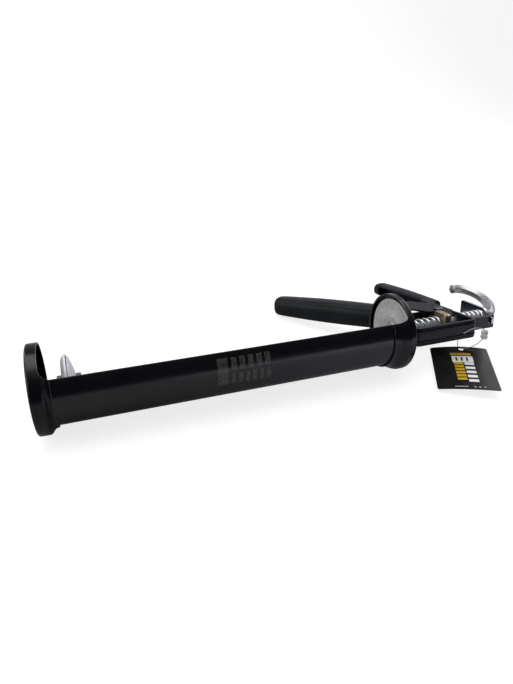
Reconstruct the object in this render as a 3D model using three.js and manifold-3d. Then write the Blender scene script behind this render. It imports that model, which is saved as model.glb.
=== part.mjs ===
// Cartridge caulking gun with a rotating half-tube cradle, lying on its side on the floor.
// Gun frame: +X along the push rod from the nozzle end to the hook, +Y from the rod towards
// the handle, +Z sideways. The gun frame is rolled about X, so that the gun lies on its caps
// with the trigger and the handle down on the floor. Millimetres, +Z up, origin on the floor
// under the middle of the gun.
import * as THREE from 'three';
import { mergeVertices } from 'three/addons/utils/BufferGeometryUtils.js';
import Module from 'manifold-3d';

const wasm = await Module();
wasm.setup();

const deg = THREE.MathUtils.degToRad;

// Driving dimensions. The cradle takes a standard cartridge of 49 to 50 mm diameter.
const TUBE_R = 26; // outside of the cradle tube
const TUBE_WALL = 0.8;
const SHEET = 1.2; // pressed caps
const CRADLE_LENGTH = 279; // outer face of the front cap to the back of the rear cap
const CAP_R = 31.2; // both caps
const NOZZLE_HOLE_R = 8.5;
const RIM = 7.5; // depth of the front cap's rim on the open side
const LIP = 5.2; // depth of the rear cap's lip on the open side
const SHOULDER_END = 13; // front cap's shoulder, on the closed side
const FLARE = 12; // length of the rear cap's flare in front of its lip
const CRADLE_TURN = deg(-42.4); // the cradle opens upwards and towards the handle
const GUN_ROLL = deg(-10.6);
const CLEAR = 0.3; // between pieces that touch

const ROD_R = 4.62; // corners of the 8 mm hexagon
const ROD_BORE = 5.2;
const ROD_FRONT = 15;
const BUSH_R = 7;
const HOOK_ROLL = deg(14.6); // the hook is turned a little out of the handle's plane
const PISTON_R = 20.8;
const PISTON_AT = 20;

const FRAME = { front: 283, rear: 342, top: -24, bottom: 20.4, wall: 2.4, half: 7.5, slim: 6 };
const PIVOT = new THREE.Vector2(332, 14);
const PIN_R = 2.5;
const CHEEK = { inner: 6.4, outer: 8 };
const TRIGGER = { from: new THREE.Vector2(301, 27), to: new THREE.Vector2(222, 120) };
const HANDLE = { from: new THREE.Vector2(352, 46), to: new THREE.Vector2(346.7, 131.5) };
const NECK_BACK = 345.8; // rear face of the handle's flat neck
const RIVETS = [24.6, 32.6]; // places along the handle's neck
const RIVET_R = 2.2;
const DRIVER = {
  at: 325.3, thick: 2.6, tilt: deg(5), front: 4,
  half: 9.5, slim: 3.8, top: -9, shoulder: 8, bottom: 16.5,
};
const RELEASE = {
  at: 368, thick: 2.5, tilt: deg(5), front: 2.6,
  half: 8, neck: 2.7, top: -7.6, bottom: 29.5,
};
const TONGUE = { end: 370.4, at: -10.4, thick: 2.2, from: -7, to: 4, slot: 3.2 };
const SPRING = { r: 5.9, wire: 1.6 };
const HUNG_TURN = deg(-3.4); // the tag and its loop hang a little turned about the rod's axis
const TAG = {
  width: 46.6, length: 62, thick: 0.6, hole: 2.2, holeAt: 1.8,
  at: [326.6, -33, -26.5], turn: [0.0355, -0.1087, -0.5273],
};
const LOOP_R = 0.3;
const TAG_HOLE = new THREE.Vector2(328, -2.3); // small hole through the frame's top edge
const TAG_HOLE_R = 1.2;
const LOCK = { r: 3.4, length: 2.2, at: [350.4, -24.1, -4], turn: [1.2, 0, -0.3] };

const finish = (color, roughness, metalness) =>
  new THREE.MeshStandardMaterial({ color, roughness, metalness });
const blackPaint = finish(0x26252b, 0.45, 0.2);
const gripPaint = finish(0x2b3034, 0.5, 0.2);
const zinc = finish(0xc9ccd0, 0.3, 0.9);
const discZinc = finish(0xbfc0c2, 0.45, 0.7);
const bronzeZinc = finish(0xa08c74, 0.4, 0.8);
const card = finish(0x1a1a1c, 0.6, 0);
const nylon = finish(0xd8dadb, 0.35, 0);

// Solids and booleans.
function solid(geometry) {
  const bare = geometry.clone();
  bare.deleteAttribute('normal');
  bare.deleteAttribute('uv');
  const merged = mergeVertices(bare, 1e-4);
  return new wasm.Manifold(new wasm.Mesh({
    numProp: 3,
    vertProperties: new Float32Array(merged.attributes.position.array),
    triVerts: new Uint32Array(merged.index.array),
  }));
}

function surface(manifold) {
  const mesh = manifold.getMesh();
  const geometry = new THREE.BufferGeometry();
  geometry.setAttribute('position', new THREE.BufferAttribute(mesh.vertProperties, 3));
  geometry.setIndex(new THREE.BufferAttribute(mesh.triVerts, 1));
  geometry.computeVertexNormals();
  return geometry;
}

const cut = (body, ...tools) =>
  surface(tools.reduce((rest, tool) => rest.subtract(solid(tool)), solid(body)));

const join = (...bodies) =>
  surface(bodies.map(solid).reduce((whole, body) => whole.add(body)));

// An outline of [x, radius] points, revolved about the X axis. It closes on itself, unless it
// starts and ends on the axis.
function turned(outline, segments = 48) {
  const points = outline.map(([x, r]) => new THREE.Vector2(r, x));
  if (THREE.ShapeUtils.isClockWise(points)) points.reverse();
  if (outline[0][1] > 0) points.push(points[0]);
  return new THREE.LatheGeometry(points, segments).rotateZ(-Math.PI / 2);
}

const ring = (x0, x1, inner, outer, segments = 48) =>
  turned([[x0, inner], [x1, inner], [x1, outer], [x0, outer]], segments);

const barX = (x0, x1, r, segments = 32) =>
  new THREE.CylinderGeometry(r, r, x1 - x0, segments)
    .rotateZ(-Math.PI / 2)
    .translate((x0 + x1) / 2, 0, 0);

const barZ = (x, y, z0, z1, r, segments = 24) =>
  new THREE.CylinderGeometry(r, r, z1 - z0, segments)
    .rotateX(Math.PI / 2)
    .translate(x, y, (z0 + z1) / 2);

// An outline in the gun's X-Y plane, extruded sideways from z0 to z1.
function slab(outline, z0, z1) {
  const shape = outline instanceof THREE.Shape
    ? outline
    : new THREE.Shape(outline.map(([x, y]) => new THREE.Vector2(x, y)));
  return new THREE.ExtrudeGeometry(shape, { depth: z1 - z0, bevelEnabled: false, curveSegments: 6 })
    .translate(0, 0, z0);
}

const box = (x0, x1, y0, y1, z0, z1) =>
  new THREE.BoxGeometry(Math.abs(x1 - x0), Math.abs(y1 - y0), Math.abs(z1 - z0))
    .translate((x0 + x1) / 2, (y0 + y1) / 2, (z0 + z1) / 2);

function roundedRectangle(x0, x1, y0, y1, r) {
  const shape = new THREE.Shape();
  shape.absarc(x1 - r, y1 - r, r, 0, Math.PI / 2);
  shape.absarc(x0 + r, y1 - r, r, Math.PI / 2, Math.PI);
  shape.absarc(x0 + r, y0 + r, r, Math.PI, 1.5 * Math.PI);
  shape.absarc(x1 - r, y0 + r, r, 1.5 * Math.PI, 2 * Math.PI);
  return shape;
}

// A section swept along a path with flat ends.
function swept(section, path, steps) {
  return new THREE.ExtrudeGeometry(section, { steps, bevelEnabled: false, extrudePath: path });
}

function polygon(sides, r) {
  const angles = Array.from({ length: sides }, (_, i) => (i / sides) * 2 * Math.PI);
  return new THREE.Shape(angles.map((a) => new THREE.Vector2(r * Math.cos(a), r * Math.sin(a))));
}

const part = new THREE.Group();
const lifted = new THREE.Group();
const gun = new THREE.Group();
const cradle = new THREE.Group();
part.add(lifted);
lifted.add(gun, cradle);
gun.rotation.x = GUN_ROLL;
cradle.rotation.x = CRADLE_TURN;

function piece(group, name, geometry, material) {
  const mesh = new THREE.Mesh(geometry, material);
  mesh.name = name;
  group.add(mesh);
  return mesh;
}

// Cradle: it opens towards its own +Z and turns about the push rod's axis.
function openSide(corner, r, towards) {
  // Cutter for everything above the tube's edges, with a round inner corner where a rim
  // sweeps down into the tube's edge.
  const far = corner + towards * 300;
  const shape = new THREE.Shape();
  shape.moveTo(corner, 60);
  shape.lineTo(corner, r);
  shape.quadraticCurveTo(corner, 0, corner + towards * r, 0);
  shape.lineTo(far, 0);
  shape.lineTo(far, 60);
  return new THREE.ExtrudeGeometry(shape, { depth: 80, bevelEnabled: false, curveSegments: 8 })
    .rotateX(Math.PI / 2)
    .translate(0, 40, 0);
}

function cradleTube() {
  const inner = TUBE_R - TUBE_WALL;
  const end = CRADLE_LENGTH - LIP + SHEET;
  return cut(ring(SHEET + CLEAR, end, inner, TUBE_R, 72), box(-1, 300, -40, 40, 0, 40));
}

function frontCap() {
  const rim = CAP_R - SHEET;
  const over = TUBE_R + CLEAR;
  const cup = turned([
    [0, NOZZLE_HOLE_R], [0, CAP_R - 1.6], [0.5, CAP_R - 0.5], [1.6, CAP_R],
    [RIM, CAP_R], [9, CAP_R - 1], [11, over + SHEET + 0.6],
    [SHOULDER_END, over + SHEET], [SHOULDER_END, over], [10.8, over + 0.4], [8.6, rim - 1.1],
    [RIM - 0.2, rim], [SHEET, rim], [SHEET, NOZZLE_HOLE_R],
  ], 72);
  return cut(cup, openSide(RIM, RIM, 1));
}

function rearCap() {
  const back = CRADLE_LENGTH;
  const lip = back - LIP;
  const over = TUBE_R + CLEAR;
  const inner = CAP_R - SHEET;
  const start = lip - FLARE;
  const cup = turned([
    [back, BUSH_R + CLEAR], [back, CAP_R - 1.6], [back - 0.5, CAP_R - 0.5], [back - 1.6, CAP_R],
    [lip, CAP_R], [lip - 2.5, CAP_R - 0.9], [lip - 6, over + SHEET + 1],
    [lip - 9, over + SHEET + 0.2], [start, over + SHEET], [start, over],
    [lip - 8.6, over + 0.2], [lip - 5.4, over + 1.1], [lip - 2, inner - 0.9],
    [lip + 0.4, inner], [back - SHEET - 0.2, inner], [back - SHEET - 0.2, BUSH_R + CLEAR],
  ], 72);
  return cut(cup, openSide(lip, 6, -1));
}

function retainerDisc() {
  const front = CRADLE_LENGTH - 3.4;
  return ring(front, front + 1.2, BUSH_R + CLEAR, 27, 64);
}

piece(cradle, 'cradle_tube', cradleTube(), blackPaint);
piece(cradle, 'front_cap', frontCap(), blackPaint);
piece(cradle, 'rear_cap', rearCap(), blackPaint);
piece(cradle, 'retainer_disc', retainerDisc(), discZinc);

// Swivel between the cradle and the frame.
function swivelBush() {
  const head = CRADLE_LENGTH - 4.8;
  const wall = FRAME.front + FRAME.wall;
  return turned([
    [head, ROD_BORE], [head, BUSH_R + 1.2], [head + 1.1, BUSH_R + 1.2], [head + 1.1, BUSH_R],
    [wall + CLEAR, BUSH_R], [wall + CLEAR, BUSH_R + 2.5],
    [wall + 1.8, BUSH_R + 2.5], [wall + 1.8, ROD_BORE],
  ], 36);
}

function thrustWasher() {
  return ring(CRADLE_LENGTH + CLEAR, FRAME.front - CLEAR, BUSH_R + CLEAR, 12, 36);
}

piece(gun, 'swivel_bush', swivelBush(), zinc);
piece(gun, 'thrust_washer', thrustWasher(), zinc);

// Frame: a strap loop round the rod, with a window through both sides.
function frameLoop() {
  const { front, rear, top, bottom, wall, half, slim } = FRAME;
  const loop = slab(roundedRectangle(front, rear, top, bottom, 3), -half, half);
  const opening = roundedRectangle(front + wall, rear - wall, top + wall, bottom - wall, 2);
  const window = slab(opening, -20, 20);
  const trim = box(front + wall + 3, rear + 5, 8.2, 30, slim, 20);
  const otherTrim = trim.clone().translate(0, 0, -20 - slim);
  const tail = box(rear - wall, rear, bottom - 4, 41, -slim, slim);
  const lug = slab([
    [PIVOT.x - 4.5, bottom - 1], [PIVOT.x - 4.5, PIVOT.y - 2], [PIVOT.x - 2, PIVOT.y - 4.8],
    [PIVOT.x + 2.5, PIVOT.y - 4.8], [PIVOT.x + 5.5, bottom - 1],
  ], 0, slim - 4.2);
  const skin = TONGUE.thick / 2;
  const { at, from, to } = TONGUE;
  const tongue = box(rear - 1, TONGUE.end, at - skin, at + skin, from, to);
  const seat = RELEASE.at + at * Math.tan(RELEASE.tilt);
  const slot = box(seat - 2, seat + 2, at - 3, at + 3, -TONGUE.slot, TONGUE.slot);
  const lugs = [lug.clone().translate(0, 0, 4.2), lug.clone().translate(0, 0, -slim)];
  return cut(
    join(cut(loop, window, trim, otherTrim), tail, tongue, ...lugs),
    slot,
    barX(front - 1, front + 4, BUSH_R + CLEAR),
    barX(rear - 4, rear + 1, ROD_BORE),
    barZ(PIVOT.x, PIVOT.y, -10, 10, PIN_R + CLEAR),
    barX(-4, 4, TAG_HOLE_R, 16).rotateZ(Math.PI / 2).translate(TAG_HOLE.x, FRAME.top, TAG_HOLE.y),
    ...RIVETS.map((y) => barX(rear - 5, rear + 2, RIVET_R + CLEAR, 16).translate(0, y, 0)),
  );
}

piece(gun, 'frame', frameLoop(), blackPaint);

// A bar of oval section along a line in the X-Y plane, hollowed from one side into a channel.
function channelBar(line, radii, side, wall, height) {
  const along = line.to.clone().sub(line.from);
  const length = along.length();
  const stations = radii.map(([t, r]) => [t * length, r]);
  const bar = turned([[0, 0], ...stations, [length, 0]], 28).scale(1, 1, height);
  const inside = height * radii[2][1] - wall;
  const trough = box(6, length - 9.5, side * -2.5, side * 30, -inside, inside);
  return cut(bar, trough).rotateZ(along.angle()).translate(line.from.x, line.from.y, 0);
}

function handle() {
  const radii = [[0, 8], [0.05, 8.8], [0.5, 9.2], [0.94, 8.8], [0.985, 7.4], [1, 5]];
  const bar = channelBar(HANDLE, radii, 1, 2.2, 0.74);
  const behind = FRAME.rear + CLEAR;
  const back = NECK_BACK;
  const outline = [[behind, 10.5], [back, 10.5], [back, 38], [353, 44], [353, 52], [behind, 55]];
  const neck = slab(outline, -FRAME.slim, FRAME.slim);
  const hole = barX(behind - 1, back + 1, RIVET_R + CLEAR, 16);
  return cut(join(bar, neck), ...RIVETS.map((y) => hole.clone().translate(0, y, 0)));
}

function trigger() {
  const radii = [[0, 8], [0.14, 11], [0.5, 11.5], [0.82, 10.6], [0.97, 9.6], [1, 7.4]];
  const bar = channelBar(TRIGGER, radii, -1, 2.6, 0.98);
  const outline = [
    [331.3, -5.5], [329.2, -4.2], [328.5, -1.5], [328.8, 2], [328.8, 8], [320, 12],
    [312.5, 25], [298, 22.5], [291, 32], [300, 46], [318, 50], [326, 47.5], [338, 31],
    [339, 12], [336, 2], [333.8, -4.5],
  ];
  const webHalf = CHEEK.inner + 0.7;
  const web = slab([[311, 26.5], [298.5, 24], [292.5, 32], [301, 45], [313, 44.5]], -webHalf, webHalf);
  const cheeks = [slab(outline, CHEEK.inner, CHEEK.outer), slab(outline, -CHEEK.outer, -CHEEK.inner)];
  return cut(join(bar, web, ...cheeks), barZ(PIVOT.x, PIVOT.y, -12, 12, PIN_R + CLEAR));
}

function rivet(y) {
  const front = FRAME.rear - FRAME.wall - CLEAR;
  const back = NECK_BACK + CLEAR;
  return join(
    barX(front - 1.6, front, 3.8, 20),
    barX(front - 0.1, back + 0.1, RIVET_R, 20),
    barX(back, back + 1.6, 3.8, 20),
  ).translate(0, y, 0);
}

function pivotPin() {
  const head = CHEEK.outer + CLEAR;
  return join(
    barZ(PIVOT.x, PIVOT.y, -head - 0.1, head + 0.1, PIN_R),
    barZ(PIVOT.x, PIVOT.y, head, head + 1.5, 4),
    barZ(PIVOT.x, PIVOT.y, -head - 1.5, -head, 4),
  );
}

piece(gun, 'handle', handle(), gripPaint);
piece(gun, 'trigger', trigger(), gripPaint);
piece(gun, 'trigger_pivot_pin', pivotPin(), zinc);
RIVETS.forEach((y, i) => piece(gun, `handle_rivet_${i + 1}`, rivet(y), zinc));

// A flat plate across the rod: its outline is in Y-Z, its thickness along X.
function crossPlate(shape, thick) {
  return new THREE.ExtrudeGeometry(shape, { depth: thick, bevelEnabled: false, curveSegments: 8 })
    .translate(0, 0, -thick / 2)
    .rotateX(Math.PI / 2)
    .rotateZ(Math.PI / 2);
}

function boredPlate(outline, thick) {
  const hole = new THREE.Path();
  hole.absarc(0, 0, ROD_BORE, 0, 2 * Math.PI, true);
  outline.holes.push(hole);
  return crossPlate(outline, thick);
}

// Two gripping plates side by side; the trigger's cheeks push them and they jam on the rod.
['front', 'rear'].forEach((where, i) => {
  const outline = roundedRectangle(DRIVER.top, DRIVER.shoulder, -DRIVER.half, DRIVER.half, 2);
  const skin = DRIVER.thick / 2;
  const foot = box(-skin, skin, 6.5, DRIVER.bottom, -DRIVER.slim, DRIVER.slim);
  const offset = (i - 0.5) * (DRIVER.thick + CLEAR);
  const plate = join(boredPlate(outline, DRIVER.thick), foot).translate(offset, 0, 0);
  const mesh = piece(gun, `driver_plate_${where}`, plate, bronzeZinc);
  mesh.rotation.z = -DRIVER.tilt;
  mesh.position.x = DRIVER.at;
});

function releasePlate() {
  const outline = roundedRectangle(RELEASE.top, RELEASE.bottom, -RELEASE.half, RELEASE.half, 2.5);
  const skin = RELEASE.thick / 2;
  const neck = box(-skin, skin, TONGUE.at - 3.6, RELEASE.top + 1, -RELEASE.neck, RELEASE.neck);
  return join(boredPlate(outline, RELEASE.thick), neck);
}

const release = piece(gun, 'release_plate', releasePlate(), zinc);
release.rotation.z = -RELEASE.tilt;
release.position.x = RELEASE.at;

class Helix extends THREE.Curve {
  constructor(x0, x1, turns, r) {
    super();
    Object.assign(this, { x0, x1, turns, r });
  }

  getPoint(t, target = new THREE.Vector3()) {
    const a = t * this.turns * 2 * Math.PI;
    return target.set(this.x0 + (this.x1 - this.x0) * t, this.r * Math.cos(a), this.r * Math.sin(a));
  }
}

function spring(x0, x1, turns) {
  const path = new Helix(x0 + SPRING.wire / 2, x1 - SPRING.wire / 2, turns, SPRING.r);
  return swept(polygon(6, SPRING.wire / 2), path, turns * 12);
}

const wallBack = FRAME.front + FRAME.wall + 1.8;
piece(gun, 'driver_spring', spring(wallBack + CLEAR, DRIVER.at - DRIVER.front, 7), zinc);
piece(gun, 'release_spring', spring(FRAME.rear + CLEAR, RELEASE.at - RELEASE.front, 6), zinc);

// Push rod: one hexagonal bar from the piston to the pulling hook.
const rod = new THREE.Group();
rod.rotation.x = HOOK_ROLL;
gun.add(rod);

function pushRod() {
  const bend = [
    [371, 0], [375.8, 1.2], [380.2, 4.6], [384.2, 9.4], [387.8, 15], [390.4, 21.5], [391.6, 28.5],
    [391.4, 36.4], [388.9, 43.6], [384.8, 48.4], [379.6, 50.8], [374.4, 51.1],
  ].map(([x, y]) => new THREE.Vector3(x, y, 0));
  const straight = new THREE.LineCurve3(new THREE.Vector3(ROD_FRONT, 0, 0), bend[0]);
  const hook = new THREE.CatmullRomCurve3(bend);
  return join(swept(polygon(6, ROD_R), straight, 1), swept(polygon(6, ROD_R), hook, 30));
}

piece(rod, 'push_rod', pushRod(), zinc);

function pistonPlate() {
  const x = PISTON_AT;
  const bore = ROD_R + CLEAR;
  const seat = 9; // the nut sits inside this radius, and the cartridge's plunger lies outside it
  return turned([
    [x, bore], [x, seat], [x, PISTON_R - 3], [x + 2.4, PISTON_R], [x + 3.6, PISTON_R],
    [x + 3.6, PISTON_R - 0.6], [x + 1.4, PISTON_R - 3.4], [x + 1.4, bore],
  ], 48);
}

function pistonBacking() {
  const x = PISTON_AT + 3.9;
  const bore = ROD_R + CLEAR;
  const rim = PISTON_R - 1.4;
  return turned([[x, bore], [x, rim], [x + 0.8, rim], [x + 4, 9.5], [x + 4, bore]], 40);
}

piece(rod, 'piston_plate', pistonPlate(), zinc);
piece(rod, 'piston_backing', pistonBacking(), zinc);
const nuts = [['piston_nut_front', PISTON_AT - 3.9], ['piston_nut_rear', PISTON_AT + 8.2]];
nuts.forEach(([name, x]) => piece(rod, name, ring(x, x + 3.6, ROD_R + CLEAR, 7, 6), zinc));

// Set the gun on the floor with its middle over the origin.
part.updateMatrixWorld(true);
const extent = new THREE.Box3().setFromObject(lifted, true);
const middle = extent.getCenter(new THREE.Vector3());
lifted.position.set(-middle.x, -middle.y, -extent.min.z);

// Swing tag: a card and its nylon loop, hung on the frame's top edge.
const hung = new THREE.Group();
hung.rotation.x = HUNG_TURN;
lifted.add(hung);

function tagCard() {
  const half = TAG.width / 2;
  const end = TAG.length / 2;
  const outline = roundedRectangle(-half, half, -end, end, 1.5);
  const hole = new THREE.Path();
  hole.absarc(TAG.holeAt, end - 4, TAG.hole, 0, 2 * Math.PI, true);
  outline.holes.push(hole);
  const flat = { depth: TAG.thick, bevelEnabled: false, curveSegments: 6 };
  return new THREE.ExtrudeGeometry(outline, flat);
}

const tag = piece(hung, 'swing_tag', tagCard(), card);
tag.rotation.set(...TAG.turn, 'XYZ');
tag.position.set(...TAG.at);

const bead = new THREE.CapsuleGeometry(LOCK.r, LOCK.length, 5, 14).scale(1, 1, 0.7);
const lock = piece(hung, 'tag_lock', bead, nylon);
lock.rotation.set(...LOCK.turn, 'XYZ');
lock.position.set(...LOCK.at);

// From the lock over the frame's edge, through its small hole, down and up through the tag's
// hole, and back to the lock.
const loopRoute = [
  [348.5, -25.5, 0.8], [346.4, -25.5, 2.2], [343.8, -25.4, 3.2], [340.4, -25.2, 4], [337, -25.1, 4],
  [334, -25.1, 3.5], [331.4, -25.2, 2.7], [329.3, -25.2, 1.7], [328.1, -24.4, 0.9], [328, -22.4, 0],
  [328, -20.6, -1], [328.1, -19.6, -2.4], [328.8, -19.3, -4.6], [330.4, -17.6, -7.8],
  [334, -13.4, -12.6], [338.4, -8.8, -17.8], [342.2, -5.4, -21.4], [343.6, -4.5, -24],
  [342.6, -7.2, -26.1], [341, -9.7, -24.2], [341.1, -11, -22.1], [343.8, -11.8, -22],
  [347.5, -12.3, -21.8], [351.6, -12.4, -21], [354.2, -13.2, -19.4], [354.6, -15.4, -16.6],
  [353.6, -18.6, -12.8], [352.5, -21.8, -9],
].map((point) => new THREE.Vector3(...point));
piece(hung, 'tag_loop', swept(polygon(8, LOOP_R), new THREE.CatmullRomCurve3(loopRoute), 76), nylon);

export default part;
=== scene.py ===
"""Looks of a caulking gun with a rotating half-tube cradle, lying on its side with its swing tag.

Outlines are in millimetres, in the frame of the gun, the cradle, the rod or the card. The first
three share the rod's axis: x from the front cap's face towards the hook, y towards the handle
or, on the cradle, sideways, and z across them. MM takes every length to metres.
"""
import math

import bmesh
import bpy
from mathutils import Matrix, Vector

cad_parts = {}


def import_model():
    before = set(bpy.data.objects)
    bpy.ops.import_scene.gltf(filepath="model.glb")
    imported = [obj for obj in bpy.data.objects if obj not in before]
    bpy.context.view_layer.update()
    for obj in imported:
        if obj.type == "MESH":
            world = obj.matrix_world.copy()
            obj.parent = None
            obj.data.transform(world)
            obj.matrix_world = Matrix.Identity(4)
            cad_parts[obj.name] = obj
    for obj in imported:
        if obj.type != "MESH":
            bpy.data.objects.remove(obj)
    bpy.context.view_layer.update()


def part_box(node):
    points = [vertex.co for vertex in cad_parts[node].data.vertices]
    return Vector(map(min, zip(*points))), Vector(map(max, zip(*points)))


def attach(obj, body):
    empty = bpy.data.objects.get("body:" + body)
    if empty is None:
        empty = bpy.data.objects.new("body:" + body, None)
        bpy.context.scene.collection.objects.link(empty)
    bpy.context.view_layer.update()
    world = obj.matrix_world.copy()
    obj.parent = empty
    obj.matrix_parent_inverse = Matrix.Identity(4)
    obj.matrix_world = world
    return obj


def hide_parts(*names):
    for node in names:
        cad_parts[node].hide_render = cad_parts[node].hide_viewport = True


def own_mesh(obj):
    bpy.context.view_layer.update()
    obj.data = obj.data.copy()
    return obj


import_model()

MM = 0.001
TAU = 2 * math.pi
STILL = Matrix.Identity(4)

# Sizes and places in millimetres, and turns in radians. CLEAR is the usual gap between two pieces.
TUBE_R = 26
TUBE_WALL = 0.8
SHEET = 1.2
CRADLE_LENGTH = 279
CLEAR = 0.3
CAP_R = 31.2
NOZZLE_HOLE_R = 8.5
ROD_R = 4.62
ROD_BORE = 5.2
BUSH_R = 7
FRAME_FRONT = 283
FRAME_REAR = 342
FRAME_TOP = -24
FRAME_BOTTOM = 20.4
STRAP = 2.4
STRAP_HALF = 7.5
SLIM_HALF = 6
PIVOT = (332, 14)
PIN_R = 2.5
HANDLE_LINE = ((352, 46), (346.7, 131.5))
NECK_BACK = 345.8
SQUARENESS = 2.6  # of the grips' sections: 2 is an ellipse
RIVETS = (24.6, 32.6)
RIVET_R = 2.2
TRIGGER_LINE = ((301, 27), (222, 120))
CRADLE_TURN = math.radians(-42.4)
GUN_ROLL = math.radians(-10.6)
HOOK_ROLL = math.radians(14.6)
HUNG_TURN = math.radians(-3.4)
PLATE_TILT = math.radians(-5)
DRIVER_AT = 325.3
DRIVER_SPRING = (287.5, 321.3)
RELEASE_AT = 368
RELEASE_SPRING = (342.3, 365.4)
PISTON_AT = 20
PISTON_R = 20.8
SPRING_R = 5.9
WIRE_R = 0.8
TAG_SIZE = (46.6, 62)
TAG_THICK = 0.6
TAG_HOLE_AT = 1.8
TAG_HOLE_R = 2.2
LOOP_DIAMETER = 0.0006  # in metres

# Frames of the gun, the cradle and the rod, placed by the CAD model. The tag, its loop and the
# camera share HUNG, which is turned a little about the rod's axis.
front_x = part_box("front_cap")[0].x
washer_low, washer_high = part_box("thrust_washer")
axis = (washer_low + washer_high) / 2


def turned_frame(roll):
    return Matrix.Translation((front_x, axis.y, axis.z)) @ Matrix.Rotation(roll, 4, "X")


GUN = turned_frame(GUN_ROLL)
CRADLE = turned_frame(CRADLE_TURN)
ROD = turned_frame(GUN_ROLL + HOOK_ROLL)
HUNG = turned_frame(HUNG_TURN)


def placed(origin, turns):
    """A frame at origin in the frame HUNG, in metres, turned about its own x, y and z."""
    spin = STILL
    for angle, letter in zip(turns, "XYZ"):
        spin = spin @ Matrix.Rotation(angle, 4, letter)
    return HUNG @ Matrix.Translation(origin) @ spin


TAG = placed((0.3266, -0.0330, -0.0265), (0.0355, -0.1087, -0.5273))
LOCK = placed((0.3504, -0.0241, -0.0040), (1.2, 0, -0.3))

# ---------------------------------------------------------------- camera

CAMERA_FROM_NOSE = Vector((0.0424, -0.3245, 0.1797))
LOOK = Vector((0.3003, 0.845, -0.4428))
LENS = 27.05


def camera():
    data = bpy.data.cameras.new("camera")
    data.lens = LENS
    data.clip_start = 0.01
    obj = bpy.data.objects.new("camera", data)
    bpy.context.scene.collection.objects.link(obj)
    aim = LOOK.to_track_quat("-Z", "Y").to_matrix().to_4x4()
    obj.matrix_world = HUNG @ Matrix.Translation(CAMERA_FROM_NOSE) @ aim
    bpy.context.scene.camera = obj


camera()

# ---------------------------------------------------------------- materials


class Look:
    """A material under construction, on a Principled shader. Its texture space is the object's
    frame at rest, or the frame given as space, in metres."""

    def __init__(self, name, space=None, **sockets):
        self.material = bpy.data.materials.new(name)
        self.material.use_nodes = True
        self.tree = self.material.node_tree
        self.shader = self.tree.nodes["Principled BSDF"]
        for socket, value in sockets.items():
            self.shader.inputs[socket.replace("_", " ")].default_value = value
        self.place = self.node("ShaderNodeTexCoord").outputs["Object"]
        if space:
            at = {"Vector": self.place, "Location": space.translation, "Rotation": space.to_euler()}
            self.place = self.node("ShaderNodeMapping", at, vector_type="TEXTURE").outputs["Vector"]

    def node(self, kind, inputs=None, **settings):
        made = self.tree.nodes.new(kind)
        for key, value in settings.items():
            setattr(made, key, value)
        for key, value in (inputs or {}).items():
            self.feed(made.inputs[key], value)
        return made

    def feed(self, socket, value):
        if isinstance(value, bpy.types.NodeSocket):
            self.tree.links.new(value, socket)
        else:
            socket.default_value = value

    def noise(self, scale, detail=3.0, roughness=0.5, where=None):
        inputs = {"Vector": where or self.place, "Scale": scale, "Detail": detail,
                  "Roughness": roughness}
        return self.node("ShaderNodeTexNoise", inputs).outputs["Fac"]

    def cloud(self, scale, detail=3.0, roughness=0.5, low=0.3, high=0.7):
        """Soft patches between 0 and 1."""
        return self.span(self.noise(scale, detail, roughness), low, high, 0.0, 1.0)

    def stretched(self, sx, sy, sz):
        made = self.node("ShaderNodeMapping", {"Vector": self.place, "Scale": (sx, sy, sz)})
        return made.outputs["Vector"]

    def span(self, value, low, high, to_low, to_high):
        made = self.node("ShaderNodeMapRange", {"Value": value, "From Min": low, "From Max": high,
                                                "To Min": to_low, "To Max": to_high})
        return made.outputs["Result"]

    def sums(self, operation, a, b=0.0, c=0.0):
        return self.node("ShaderNodeMath", {0: a, 1: b, 2: c}, operation=operation).outputs[0]

    def mix(self, share, a, b):
        made = self.node("ShaderNodeMix", data_type="RGBA")
        self.feed(made.inputs[0], share)
        self.feed(made.inputs[6], a)
        self.feed(made.inputs[7], b)
        return made.outputs[2]

    def sharp_edge(self, radius, low, high):
        """1 on the sharp edges, 0 on the flats."""
        soft = self.node("ShaderNodeBevel", {"Radius": radius}, samples=4).outputs["Normal"]
        hard = self.node("ShaderNodeNewGeometry").outputs["Normal"]
        same = self.node("ShaderNodeVectorMath", {0: soft, 1: hard}, operation="DOT_PRODUCT")
        return self.span(same.outputs["Value"], low, high, 1.0, 0.0)

    def bump(self, height, strength, distance, below=None):
        inputs = {"Height": height, "Strength": strength, "Distance": distance}
        if below:
            inputs["Normal"] = below
        return self.node("ShaderNodeBump", inputs).outputs["Normal"]

    def coordinate(self, index):
        return self.node("ShaderNodeSeparateXYZ", {"Vector": self.place}).outputs[index]

    def finish(self, colour, roughness, normal):
        self.feed(self.shader.inputs["Base Color"], colour)
        self.feed(self.shader.inputs["Roughness"], roughness)
        self.feed(self.shader.inputs["Normal"], normal)
        return self.material


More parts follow.
